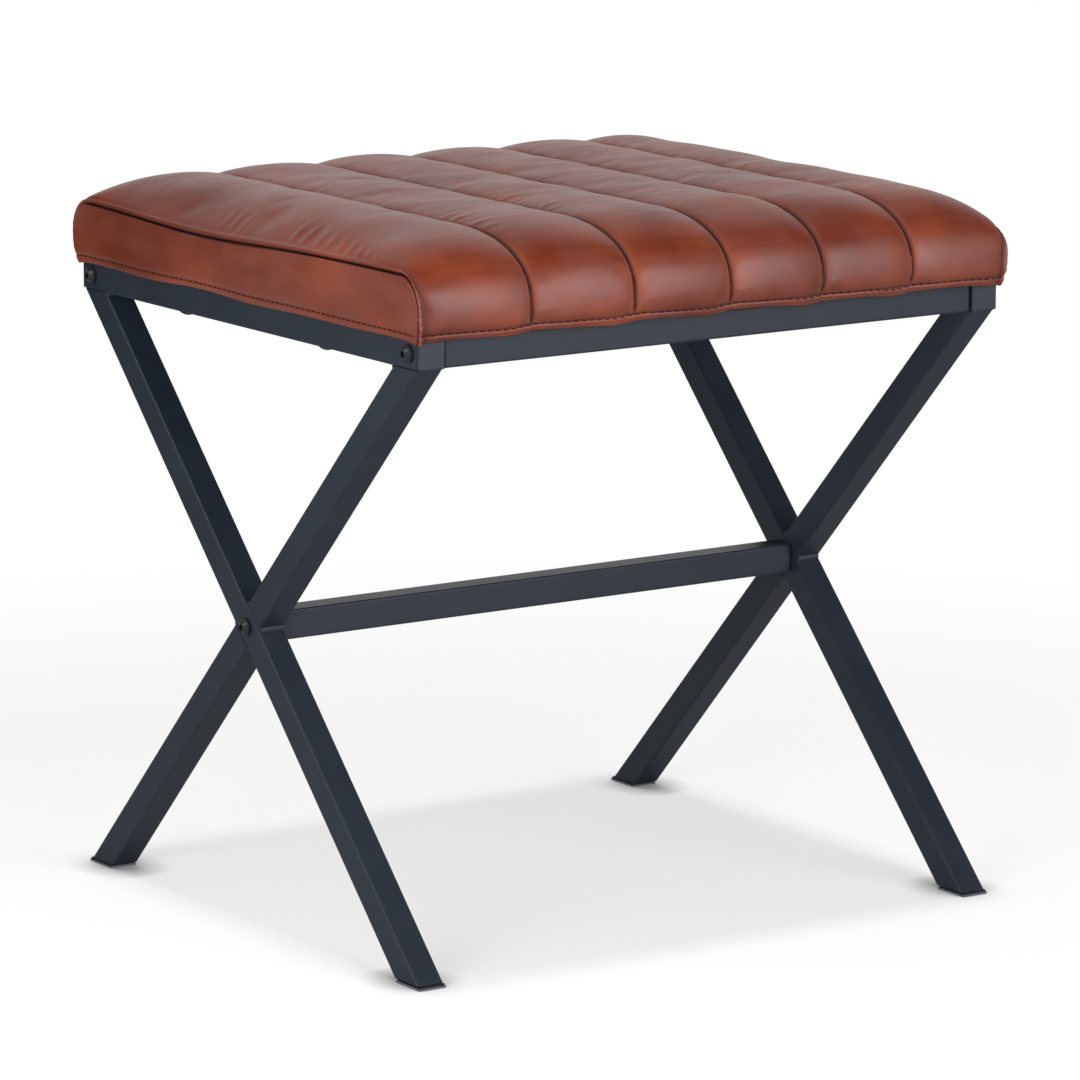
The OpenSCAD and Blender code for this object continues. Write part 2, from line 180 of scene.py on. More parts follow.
def tube_faces(rows, columns, first=0):
    """Quads over rows of closed rings with this many columns, numbered from first."""
    i, j = np.meshgrid(np.arange(rows - 1), np.arange(columns), indexing="ij")
    a = first + i * columns + j
    b = first + i * columns + (j + 1) % columns
    return np.stack([a, b, b + columns, a + columns], -1).reshape(-1, 4)


def weld_bead(x_low, x_high, corner, one_way, other_way):
    """Points of a bead along X: a bulging arc from one face to the other with its root in the
    corner, swelling and shrinking by a sine along X as the puddles follow each other."""
    rings = int((x_high - x_low) / (0.4 * mm))
    x = np.linspace(x_low, x_high, rings)
    t = np.linspace(0, 1, 9)
    arc = np.outer(1 - t, one_way) + np.outer(t, other_way)
    arc *= (1 + 0.25 * np.sin(np.pi * t))[:, None]
    profile = np.vstack([arc, -0.3 * (np.array(one_way) + other_way)])
    lag = np.append(0.35 * np.sin(np.pi * t), 0)
    end = np.clip(np.minimum(x - x_low, x_high - x) / (1.5 * mm), 0, 1)
    swell = bead_size * np.sqrt(1 - (1 - end[:, None]) ** 2 * 0.9) \
        * (1 + 0.06 * np.sin(2 * np.pi * (x[:, None] / bead_pitch + lag)))
    points = np.empty((rings, len(profile), 3))
    points[..., 0] = x[:, None]
    points[..., 1:] = np.array(corner) + swell[..., None] * profile
    return points


def joined_tubes(name, tubes, material):
    """One object of several closed tubes, each an array of rings, with its ends closed."""
    points, faces, first = [], [], 0
    for rings in tubes:
        rows, columns = rings.shape[:2]
        faces += tube_faces(rows, columns, first).tolist()
        faces.append(list(range(first + columns - 1, first - 1, -1)))
        faces.append(list(range(first + (rows - 1) * columns, first + rows * columns)))
        points.append(rings.reshape(-1, 3))
        first += rows * columns
    return make_mesh(name, np.vstack(points), faces, material)


up_back = np.array([math.sin(lean_angle), math.cos(lean_angle)])
up_front = up_back * (-1, 1)
top_y = -(rail_low - cross_z) * lean + half_tube * math.sqrt(1 + lean ** 2)
corners = [((-half_tube / math.cos(lean_angle), cross_z), up_front, -up_back),
           ((half_tube / math.cos(lean_angle), cross_z), -up_front, up_back),
           ((0, cross_z + half_tube / math.sin(lean_angle)), up_back, up_front),
           ((0, cross_z - half_tube / math.sin(lean_angle)), -up_back, -up_front),
           ((top_y, rail_low), np.array([1, 0]), -up_front),
           ((-top_y, rail_low), -up_back, np.array([-1, 0]))]
beads = []
for side in sides:
    low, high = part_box(f"{side}_side_rail")
    inset = 0.6 * mm
    beads += [weld_bead(low.x + inset, high.x - inset, *corner) for corner in corners]
weld_beads = joined_tubes("weld_beads", beads, steel)
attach(weld_beads, "root")

# End caps and foot plugs: injection-moulded polyethylene, pressed into the open tube ends.
# Fine matt texture from the mould, a little darker and softer in gloss than the coated steel.


def moulded_plastic():
    """Matt moulded polyethylene: a spark-eroded grain of 0.6 mm, drawn at 1 mm so that it shows.
    The soles are painted paler as a painted reflection of the floor, and painted shade darkens
    the step above them and the joint behind the flanges of the caps."""
    material, add, place = new_material("polyethylene_moulded_matt")
    grain = add("TexNoise", {"Vector": place, "Scale": 1 / (1 * mm), "Detail": 1.0})
    rounded = add("Bevel", {"Radius": 0.5 * mm}, samples=4)
    bump = add("Bump", {"Strength": 0.2, "Distance": 0.05 * mm, "Height": (grain, "Fac"),
               "Normal": (rounded, "Normal")})
    shade = add("Mix", {0: (grain, "Fac"), 6: "#242a31", 7: "#2d343c"}, data_type="RGBA")
    parts = add("SeparateXYZ", {0: place})
    # Painted reflection: below 1.4 mm the soles are painted paler, as if they mirrored the floor.
    sole = add("Math", {0: (parts, "Z"), 1: 0, 2: 1.4 * mm}, operation="COMPARE")
    sole_painted_reflection = add("Mix", {0: (sole, 0), 6: (shade, 2), 7: "#555a62"}, data_type="RGBA")
    # Painted shade: the step between the sole and the tube end is painted near black.
    step = add("Math", {0: (parts, "Z"), 1: 2.1 * mm, 2: 0.7 * mm}, operation="COMPARE")
    step_painted_shade = add("Mix", {0: (step, 0), 6: (sole_painted_reflection, 2), 7: "#020203"}, data_type="RGBA")
    # Painted shade: the joint behind each cap's flange, above the rails' underside, is painted near
    # black.
    away = add("Math", {0: (parts, "Y")}, operation="ABSOLUTE")
    rail_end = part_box("left_side_rail")[1].y
    joint = add("Math", {0: (away, 0), 1: rail_end + 0.2 * mm, 2: 0.5 * mm},
                operation="COMPARE")
    high = add("Math", {0: (parts, "Z"), 1: rail_low}, operation="GREATER_THAN")
    behind = add("Math", {0: (joint, 0), 1: (high, 0)}, operation="MULTIPLY")
    joint_painted_shade = add("Mix", {0: (behind, 0), 6: (step_painted_shade, 2), 7: "#020203"}, data_type="RGBA")
    surface = add("BsdfPrincipled", {"Base Color": (joint_painted_shade, 2), "Roughness": 0.5,
                  "Specular IOR Level": 0.45, "Normal": (bump, "Normal")})
    add("OutputMaterial", {"Surface": (surface, 0)})
    return material


dress(moulded_plastic(), *(f"{s}_{end}_{piece}" for s in sides for end in ("front", "back")
                           for piece in ("end_cap", "foot_plug")))

# Fasteners: button head bolts on plain washers and low round screws, black oxide on steel with
# a trace of oil; the threaded plates in the tubes have the same finish.


def black_oxide():
    """Black oxide on machined steel: near black, half gloss, with oily patches of some 4 mm. It is
    dull in the sockets and other recesses, found by ambient occlusion, and painted shade makes
    them near black."""
    material, add, place = new_material("steel_black_oxide")
    oil = add("TexNoise", {"Vector": place, "Scale": 1 / (4 * mm), "Detail": 2.0})
    gloss = add("MapRange", {"Value": (oil, "Fac"), "To Min": 0.28, "To Max": 0.45})
    shade = add("Mix", {0: (oil, "Fac"), 6: "#16181a", 7: "#23262a"}, data_type="RGBA")
    rounded = add("Bevel", {"Radius": 0.25 * mm}, samples=4)
    # Painted shade: recesses such as the bolts' sockets, found by ambient occlusion, are painted near
    # black.
    open_to = add("AmbientOcclusion", {"Distance": 3 * mm}, samples=8)
    recess_shade_mask = add("MapRange", {"Value": (open_to, "AO"), "From Min": 0.5, "From Max": 0.85})
    recess_painted_shade = add("Mix", {0: (recess_shade_mask, "Result"), 6: "#020202", 7: (shade, 2)}, data_type="RGBA")
    dull = add("Mix", {0: (recess_shade_mask, "Result"), 2: 0.95, 3: (gloss, "Result")})
    surface = add("BsdfPrincipled", {"Base Color": (recess_painted_shade, 2), "Roughness": (dull, 0),
                  "Specular IOR Level": 0.6, "Normal": (rounded, "Normal")})
    add("OutputMaterial", {"Surface": (surface, 0)})
    return material


dress(black_oxide(), "rail_bolts", "stretcher_bolts", "bolt_washers", "seat_screws", "rail_end_plates",
      "stretcher_end_plates")

# Threaded inserts: zinc-plated steel, pale with darker flecks, pressed into the board from
# below, one for each seat screw.


def zinc_plate():
    """Bright zinc plating: a metal with flecks of some 2 mm in its gloss."""
    material, add, place = new_material("steel_zinc_plated")
    fleck = add("TexNoise", {"Vector": place, "Scale": 1 / (2 * mm)})
    gloss = add("MapRange", {"Value": (fleck, "Fac"), "To Min": 0.25, "To Max": 0.5})
    surface = add("BsdfPrincipled", {"Base Color": "#b4b1a6", "Metallic": 1.0,
                  "Roughness": (gloss, "Result")})
    add("OutputMaterial", {"Surface": (surface, 0)})
    return material


dress(zinc_plate(), "seat_inserts")

# Seat board: raw birch plywood, sawn and sanded, with the grain of its face veneer along X. It
# carries the upholstery, and the seat screws hold it down on the side rails.


def plywood():
    """Birch veneer: grain lines some 3 mm apart, ten times as long as wide, along X."""
    material, add, place = new_material("birch_plywood_sanded")
    along = add("Mapping", {"Vector": place, "Scale": (0.1, 1, 1)})
    grain = add("TexNoise", {"Vector": (along, "Vector"), "Scale": 1 / (3 * mm), "Detail": 4.0})
    shade = add("Mix", {0: (grain, "Fac"), 6: "#b58a58", 7: "#dcbd8c"}, data_type="RGBA")
    surface = add("BsdfPrincipled", {"Base Color": (shade, 2), "Roughness": 0.7})
    add("OutputMaterial", {"Surface": (surface, 0)})
    return material


dress(plywood(), "seat_board")

# Foam core: a block of open-cell seat foam on the board, rounded over along all four upper
# edges; it keeps the cover's crown up and is held by the cover alone.
foam_long_r = 50 * mm
foam_end_r = 35 * mm
foam_points = 61


def sheet_faces(rows, columns):
    """Quads over an open grid of points, numbered row by row."""
    i, j = np.meshgrid(np.arange(rows - 1), np.arange(columns - 1), indexing="ij")
    a = (i * columns + j).ravel()
    return np.stack([a, a + columns, a + columns + 1, a + 1], -1)


def foam_block():
    """Closed block: a grid over the plan, closer towards the edges by a sine, whose height is the
    lower of two sections with round upper corners, on a flat bottom."""
    low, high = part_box("foam_core")
    half_w, half_d, half_long = high.x, high.y, box_size("under_cloth", 1) / 2
    t = np.sin(0.5 * np.pi * np.linspace(-1, 1, foam_points))
    x, y = np.meshgrid(half_w * t, half_d * t, indexing="ij")
    over_x = np.maximum(np.abs(x) - half_w + foam_end_r, 0)
    over_y = np.maximum(np.abs(y) - half_long + foam_long_r, 0)
    z = high.z - np.maximum(foam_end_r - np.sqrt(foam_end_r ** 2 - over_x ** 2),
                            foam_long_r - np.sqrt(foam_long_r ** 2 - over_y ** 2))
    top = np.stack([x, y, np.maximum(z, low.z + 0.5 * mm)], -1)
    bottom = top * (0.998, 0.998, 0) + (0, 0, low.z)
    upper = sheet_faces(foam_points, foam_points)
    number = np.arange(x.size).reshape(x.shape)
    rim = np.concatenate([number[0, :-1], number[:-1, -1], number[-1, :0:-1], number[:0:-1, 0]])
    side = np.stack([rim, np.roll(rim, -1), np.roll(rim, -1) + x.size, rim + x.size], -1)
    faces = np.vstack([upper, upper[:, ::-1] + x.size, side])
    return make_mesh("foam_block", np.vstack([top, bottom]), faces.tolist(), seat_foam())


def seat_foam():
    """Cream polyurethane foam: open cells of 0.8 mm, drawn at 1.5 mm, in colour and bump."""
    material, add, place = new_material("polyurethane_foam_open_cell")
    cell = add("TexVoronoi", {"Vector": place, "Scale": 1 / (1.5 * mm)})
    bump = add("Bump", {"Strength": 0.8, "Distance": 0.5 * mm, "Height": (cell, "Distance")})
    shade = add("Mix", {0: (cell, "Distance"), 6: "#b7aa78", 7: "#ece2b4"}, data_type="RGBA")
    surface = add("BsdfPrincipled", {"Base Color": (shade, 2), "Roughness": 0.95,
                  "Specular IOR Level": 0.2, "Normal": (bump, "Normal")})
    add("OutputMaterial", {"Surface": (surface, 0)})
    return material


foam = foam_block()
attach(foam, "root")
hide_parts("foam_core")

# Under cloth: black spun-bonded cloth, stapled flat under the board and clamped on the rails. It
# sags a little inside them and has a hole for each seat screw.
rail_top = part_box("front_rail")[1].z
cloth_w = box_size("under_cloth", 0)
cloth_d = box_size("under_cloth", 1)
cloth_sag = 2.5 * mm
cloth_thick = 0.4 * mm
cloth_corner = 8 * mm
cloth_points = (116, 106)
screw_hole = 3.3 * mm


def under_sheet():
    """Grid over the plan with rounded corners. It hangs by a product of 1 - q^2 along and across,
    where q is 1 at the inner faces of the rails, and the points round a screw lie on its hole."""
    screw_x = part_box("right_side_rail")[0].x + half_tube
    screw_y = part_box("seat_inserts")[1].y - (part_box("seat_inserts")[1].x - screw_x)
    x, y = np.meshgrid(np.linspace(-1, 1, cloth_points[0]) * cloth_w / 2,
                       np.linspace(-1, 1, cloth_points[1]) * cloth_d / 2, indexing="ij")
    qx = np.clip(np.abs(x) / (cloth_w / 2 - tube - 2 * mm), 0, 1)
    qy = np.clip(np.abs(y) / (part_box("back_rail")[0].y - 2 * mm), 0, 1)
    z = rail_top + cloth_thick / 2 + 0.2 * mm - cloth_sag * (1 - qx ** 2) ** 1.5 * (1 - qy ** 2) ** 1.5
    cx, cy = np.abs(x) - cloth_w / 2 + cloth_corner, np.abs(y) - cloth_d / 2 + cloth_corner
    out = np.hypot(cx, cy)
    pull = np.where((cx > 0) & (cy > 0) & (out > cloth_corner), cloth_corner / np.maximum(out, 1e-9), 1)
    x = np.sign(x) * np.where(pull < 1, cloth_w / 2 - cloth_corner + cx * pull, np.abs(x))
    y = np.sign(y) * np.where(pull < 1, cloth_d / 2 - cloth_corner + cy * pull, np.abs(y))
    keep = np.ones(x[1:, 1:].shape, bool)
    for px, py in ((i * screw_x, j * screw_y) for i in (-1, 1) for j in (-1, 1)):
        mx, my = (x[1:, 1:] + x[:-1, :-1]) / 2, (y[1:, 1:] + y[:-1, :-1]) / 2
        hit = np.hypot(mx - px, my - py) < screw_hole
        keep &= ~hit
        near = np.pad(hit, (0, 1)) | np.pad(hit, (1, 0)) | np.pad(hit, ((0, 1), (1, 0))) \
            | np.pad(hit, ((1, 0), (0, 1)))
        away = np.maximum(np.hypot(x - px, y - py), 1e-9)
        x = np.where(near, px + (x - px) * screw_hole / away, x)
        y = np.where(near, py + (y - py) * screw_hole / away, y)
    faces = sheet_faces(*cloth_points)[keep.ravel()]
    sheet = make_mesh("under_sheet", np.stack([x, y, z], -1), faces.tolist(), spun_cloth())
    thicken = sheet.modifiers.new("thickness", "SOLIDIFY")
    thicken.thickness = cloth_thick
    thicken.offset = 0
    return sheet


def spun_cloth():
    """Black spun-bonded polypropylene: a lattice of pressed points 2.5 mm apart over fine fibres."""
    material, add, place = new_material("polypropylene_spun_bonded")
    dots = add("TexVoronoi", {"Vector": place, "Scale": 1 / (2.5 * mm), "Randomness": 0.0})
    fibre = add("TexNoise", {"Vector": place, "Scale": 1 / (0.8 * mm), "Detail": 2.0})
    both = add("Math", {0: (fibre, "Fac"), 1: 0.3, 2: (dots, "Distance")},
               operation="MULTIPLY_ADD")
    bump = add("Bump", {"Strength": 0.7, "Distance": 0.15 * mm, "Height": (both, 0)})
    shade = add("Mix", {0: (fibre, "Fac"), 6: "#111113", 7: "#242427"}, data_type="RGBA")
    surface = add("BsdfPrincipled", {"Base Color": (shade, 2), "Roughness": 0.8,
                  "Specular IOR Level": 0.3, "Normal": (bump, "Normal")})
    add("OutputMaterial", {"Surface": (surface, 0)})
    return material


cloth = under_sheet()
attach(cloth, "root")
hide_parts("under_cloth")

# Channelled cover: six channels of soft bonded leather, sewn down through a thin quilting foam from
# the front hem to the back hem, and joined by a seam to a panel at each end. Its sizes are those
# of the solid that it replaces, and a short cloth simulation blows its channels up.
hem_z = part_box("channel_panel")[0].z
cover_w = box_size("channel_panel", 0)
channel_swell = 3.5 * mm
channel_rise = 5.5 * mm
cover_half_d = box_size("channel_panel", 1) / 2 - channel_swell
crown_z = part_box("channel_panel")[1].z - channel_rise
widest_z = rail_top + 15 * mm
seam_h = {-1: 41 * mm, 1: 34.5 * mm}
corner_round = {-1: 22 * mm, 1: 25 * mm}
seam_dip = {-1: 4.8 * mm, 1: 2 * mm}
dip_y = 50 * mm
dip_width = 100 * mm
crown_round = 84 * mm
hem_in = 4 * mm
hem_end_in = 2 * mm
seam_x = cover_w * (np.array([0, 0.184, 0.354, 0.515, 0.673, 0.828, 1]) - 0.5)
stitch_pitch = 6 * mm
stitch_run = 4.6 * mm
hem_lip = (1.2 * mm, 0.4 * mm)
leather_thick = 1.1 * mm
quilting = 3.5 * mm
inner_in = (3.4 * mm, 2.5 * mm)
seat_inside = (0, 0, 300 * mm)
# Columns to a channel, and rows below, on and between the shoulders: those of the piece, and those
# of the simulation. The inner skin has every 15th row.
fine_grid = (70, 36, 100, 178)
coarse_grid = (16, 7, 22, 52)
steps, low_rows = fine_grid[:2]
inner_every = 15
extra_leather = 0.002
blow_frames = 20
start_full = 0.75
move_cap = 5 * mm


def across_channels(columns):
    """Place s across its channel, from -1 to 1, and distance x of every column, closer together
    near the seams: the place is a blend of an even and a sine spacing."""
    t = np.linspace(-1, 1, columns + 1)[:-1]
    t = 0.25 * t + 0.75 * np.sin(0.5 * np.pi * t)
    s = np.append(np.tile(t, len(seam_x) - 1), 1)
    x = np.concatenate([a + (b - a) * (t + 1) / 2 for a, b in zip(seam_x, seam_x[1:])])
    return s, np.append(x, seam_x[-1])


def along_channels(low, shoulder, flat):
    """Rows from the front hem over the top to the back hem, as (side, angle, drop): side runs from
    -1 to 1 across the flat top, angle from 0 to a quarter turn up the shoulder, and drop from 1 on
    the hem to 0 on the widest line."""
    drop = np.concatenate([np.linspace(1, 0, low + 1)[:-1], np.zeros(shoulder)])
    angle = np.concatenate([np.zeros(low), np.linspace(0, np.pi / 2, shoulder + 1)[:-1]])
    ones = np.ones(low + shoulder)
    return (np.concatenate([-ones, np.linspace(-1, 1, flat + 1), ones]),
            np.concatenate([angle, np.full(flat + 1, np.pi / 2), angle[::-1]]),
            np.concatenate([drop, np.zeros(flat + 1), drop[::-1]]))


def bell(distance, width):
    """Bell curve of a distance."""
    return np.exp(-(distance / width) ** 2)


def cover_surface(s, x, rows, full=1.0):
    """Points of the cover by column and row, with this share of its channels' swell. A section
    across the seat is flat on top, turns down to the widest line by a superellipse, whose cosine
    and sine are to the power 0.85, and draws in by the square of the drop to the hem. A channel
    swells by 1 - |s|^2.2. Towards a side seam the top falls and the shoulder shrinks by
    (1 - (1 - e)^2)^0.48, where e is the share of the end channel; the shoulder starts more slowly,
    by 1 - exp(-e / 0.03), and is a plain ellipse at the seam, which dips by a bell behind the
    middle."""
    side, angle, drop = rows
    swell = full * (1 - np.abs(s) ** 2.2)
    e = np.minimum((x - seam_x[0]) / (seam_x[1] - seam_x[0]),
                   (seam_x[-1] - x) / (seam_x[-1] - seam_x[-2]))
    e = np.clip(e, 0, 1)
    rise = (1 - (1 - e) ** 2) ** 0.48
    late = 1 - np.exp(-e / 0.03)
    end = rail_top + np.where(x < 0, seam_h[-1], seam_h[1])
    end_round = np.where(x < 0, corner_round[-1], corner_round[1])
    top = end + (crown_z - end) * rise + channel_rise * swell
    shoulder = (end_round + (crown_round - end_round) * rise * late)[:, None]
    half = cover_half_d + channel_swell * swell
    draw = hem_in + channel_swell * swell / 2
    power = (1 - 0.15 * late)[:, None]
    y = side * (half[:, None] - shoulder * (1 - np.cos(angle) ** power) - np.outer(draw, drop ** 2))
    z = widest_z - (widest_z - hem_z) * drop + (top - widest_z)[:, None] * np.sin(angle) ** power
    dip = np.where(x < 0, seam_dip[-1], seam_dip[1]) * (1 - rise)
    z -= dip[:, None] * np.sin(angle) * bell(y - dip_y, dip_width)
    return np.stack([x[:, None] * (1 - 2 * hem_end_in / cover_w * drop ** 2), y, z], -1)


def inflate(grid, held):
    """How far each point of a grid moves in a short cloth simulation: the leather, cut a little too
    large, is blown up by a light pressure from within while its seams and hems are held."""
    piece = make_mesh("blown_up", grid, sheet_faces(*grid.shape[:2]).tolist(), None)
    piece.vertex_groups.new(name="held").add(np.flatnonzero(held).tolist(), 1.0, "REPLACE")
    cloth = piece.modifiers.new("cloth", "CLOTH")
    for key, value in {
            "quality": 5, "mass": 0.3, "tension_stiffness": 15, "compression_stiffness": 15,
            "shear_stiffness": 5, "bending_stiffness": 5, "shrink_min": -extra_leather,
            "use_pressure": True, "uniform_pressure_force": 4, "vertex_group_mass": "held"}.items():
        setattr(cloth.settings, key, value)
    cloth.settings.effector_weights.gravity = 0
    cloth.collision_settings.use_collision = False
    cloth.point_cache.frame_start, cloth.point_cache.frame_end = 1, blow_frames
    for number in range(1, blow_frames + 1):
        bpy.context.scene.frame_set(number)
    done = piece.evaluated_get(bpy.context.evaluated_depsgraph_get())
    points = np.empty(grid.size)
    done.data.vertices.foreach_get("co", points)
    bpy.data.objects.remove(piece)
    bpy.context.scene.frame_set(1)
    return points.reshape(grid.shape) - grid


def refine(values, at):
    """Values of a grid at fractional rows, by a cubic through the four nearest (Catmull-Rom)."""
    i = np.clip(at.astype(int), 0, len(values) - 2)
    u = (at - i).reshape(-1, *[1] * (values.ndim - 1))
    a, b, c, d = (values[np.clip(i + k, 0, len(values) - 1)] for k in (-1, 0, 1, 2))
    return b + u / 2 * (c - a + u * (2 * a - 5 * b + 4 * c - d + u * (3 * (b - c) + d - a)))


def blown_up(s, x, rows):
    """Points of the cover after the simulation, which runs on a grid of some 4 mm and starts from
    channels with three quarters of their swell. The moves are smoothed, and a point moves at most
    the cap, by cap * tanh(d / cap)."""
    skin = cover_surface(s, x, rows, start_full)
    coarse_s, coarse_x = across_channels(coarse_grid[0])
    coarse_rows = along_channels(*coarse_grid[1:])
    grid = cover_surface(coarse_s, coarse_x, coarse_rows, start_full)
    on_seam, on_hem = np.abs(coarse_s) > 0.999, coarse_rows[2] > 0.999
    move = inflate(grid, on_seam[:, None] | on_hem)
    move[1:-1] = (move[:-2] + 2 * move[1:-1] + move[2:]) / 4
    move[:, 1:-1] = (move[:, :-2] + 2 * move[:, 1:-1] + move[:, 2:]) / 4
    move[on_seam] = 0
    size = np.linalg.norm(move, axis=-1, keepdims=True) + 1e-9
    move *= move_cap * np.tanh(size / move_cap) / size
    ends = [np.cumsum([0, low, shoulder, flat, shoulder, low])
            for _, low, shoulder, flat in (fine_grid, coarse_grid)]
    move = refine(move, np.arange(x.size) * coarse_grid[0] / steps)
    across_rows = refine(move.transpose(1, 0, 2), np.interp(np.arange(skin.shape[1]), *ends))
    return skin + across_rows.transpose(1, 0, 2)


def run_along(points, axis):
    """Distance run along the columns (0) or the rows (1) of a grid of points."""
    step = np.linalg.norm(np.diff(points, axis=axis), axis=-1)
    return np.insert(np.cumsum(step, axis), 0, 0, axis)


def outward(points, inside):
    """Unit normals of a grid of points, turned away from a point inside."""
    normal = np.cross(np.gradient(points, axis=0), np.gradient(points, axis=1))
    normal /= np.linalg.norm(normal, axis=-1, keepdims=True)
    return normal * np.sign(np.sum(normal * (points - inside), -1, keepdims=True))


def fold(distance, width):
    """Bell curve with a sharp middle, as of a surface that is sewn down."""
    return np.exp(-(np.abs(distance) / width) ** 1.2)


def bridge(fine, coarse):
    """Faces between a row of points and a row with one point for each n-th of them."""
    n = (len(fine) - 1) // (len(coarse) - 1)
    return [[*fine[i * n:(i + 1) * n + 1], coarse[i + 1], coarse[i]] for i in range(len(coarse) - 1)]


def store_painted_light(piece, values):
    """Keeps for the leather's colour the painted shade of each point, deepest in creases, and a
    painted highlight where the value is below 0."""
    mark = piece.data.attributes.new("wear", "FLOAT", "POINT")
    mark.data.foreach_set("value", np.clip(values, -1, 1).ravel().astype(np.float32))


def puckers(run, y, wave, start):
    """Height of the gathers along one side of a seam, from a start beside it. Each is a ridge between
    two valleys, (1 - 2q^2) exp(-q^2) along the seam, that rises over the first third of its length
    away from the seam and fades over the rest. wave lists their places, widths, lengths and
    heights in millimetres, and their slants."""
    total = np.zeros(run.shape)
    for place, width, length, rise, slant in wave:
        r = np.clip((run - start) / (length * mm), 0, 1)
        q = (y - place * mm - slant * (run - start)) / (width * mm)
        total += rise * mm * 6.75 * r * (1 - r) ** 2 * (1 - 2 * q * q) * np.exp(-q * q)
    return total


# The small gathers' number and the length that they are spread over, and, in millimetres, the
# places, widths, lengths and heights of the larger ones on the left of the first three channels.
gathers = 26
gather_span = 380
large_slant = 0.12
large_puckers = {
    0: [(27, 4, 28, 0.3), (16, 4, 30, 0.35), (4, 4, 26, 0.25), (-60, 4.2, 32, 0.6),
        (-74, 4.5, 34, 0.7), (-90, 4.2, 32, 0.5), (-104, 4, 30, 0.45), (-118, 3.8, 30, 0.55),
        (-130, 3.8, 30, 0.6), (-142, 3.6, 28, 0.6), (-153, 3.6, 26, 0.5)],
    1: [(-108, 4, 24, 0.5), (-121, 4, 22, 0.6), (-144, 4, 24, 0.6), (-157, 4, 22, 0.45),
        (-40, 5, 22, 0.25)],
    2: [(-58, 4, 20, 0.45), (-70, 4, 22, 0.5), (-103, 4, 22, 0.45), (-114, 4, 20, 0.4),
        (30, 5, 22, 0.25)]}


def side_seam_relief(run, run_y, y, hem, dimple, knotted):
    """Height and painted light beside a side seam: a roll 2 mm off it with a dimple at each
    stitch and, in front, knots by a cosine that wanders, then a hollow; painted shade darkens the
    seam. Near the corners below, by a logistic curve, knots and hollow grow, and the roll gets a
    painted highlight above a hollow darkened by painted shade."""
    corner = 1 / (1 + np.exp((hem - 62 * mm) / (8 * mm)))
    knots = np.cos(2 * np.pi * run_y / (5.2 * mm) + 1.5 * np.sin(run_y / (17 * mm))) * (y < 0)
    height = 0.9 * bell(run - 2.2 * mm, 1.6 * mm) - 0.3 * dimple * bell(run - mm, mm)
    height += knotted * knots * bell(run - 2.4 * mm, 1.5 * mm) * (0.3 + 0.7 * corner)
    height -= (0.2 + 0.9 * corner) * bell(run - 4 * mm, 4.5 * mm)
    # Near the corners: painted shade in the hollow and a painted highlight on the roll.
    hollow = 0.7 * bell(run - 5.5 * mm, 2.6 * mm) - 0.8 * bell(run - 2 * mm, 1.2 * mm)
    return height * mm, bell(run, (0.6 + 0.4 * corner) * mm) + hollow * corner


def channel_seam_relief(run, dimple, above_hem, edge_highlight):
    """Height and painted light beside a channel seam: a sharp fold with a dimple at each stitch,
    painted shade in its bottom and a painted highlight along its edge, that runs out at the
    hems."""
    height = -1.9 * fold(run, 2.8 * mm) - 0.3 * dimple * bell(run, 1.2 * mm)
    crease = bell(run, 1.4 * mm) - edge_highlight * bell(run - 3 * mm, 0.8 * mm)
    return height * mm * above_hem, crease * above_hem


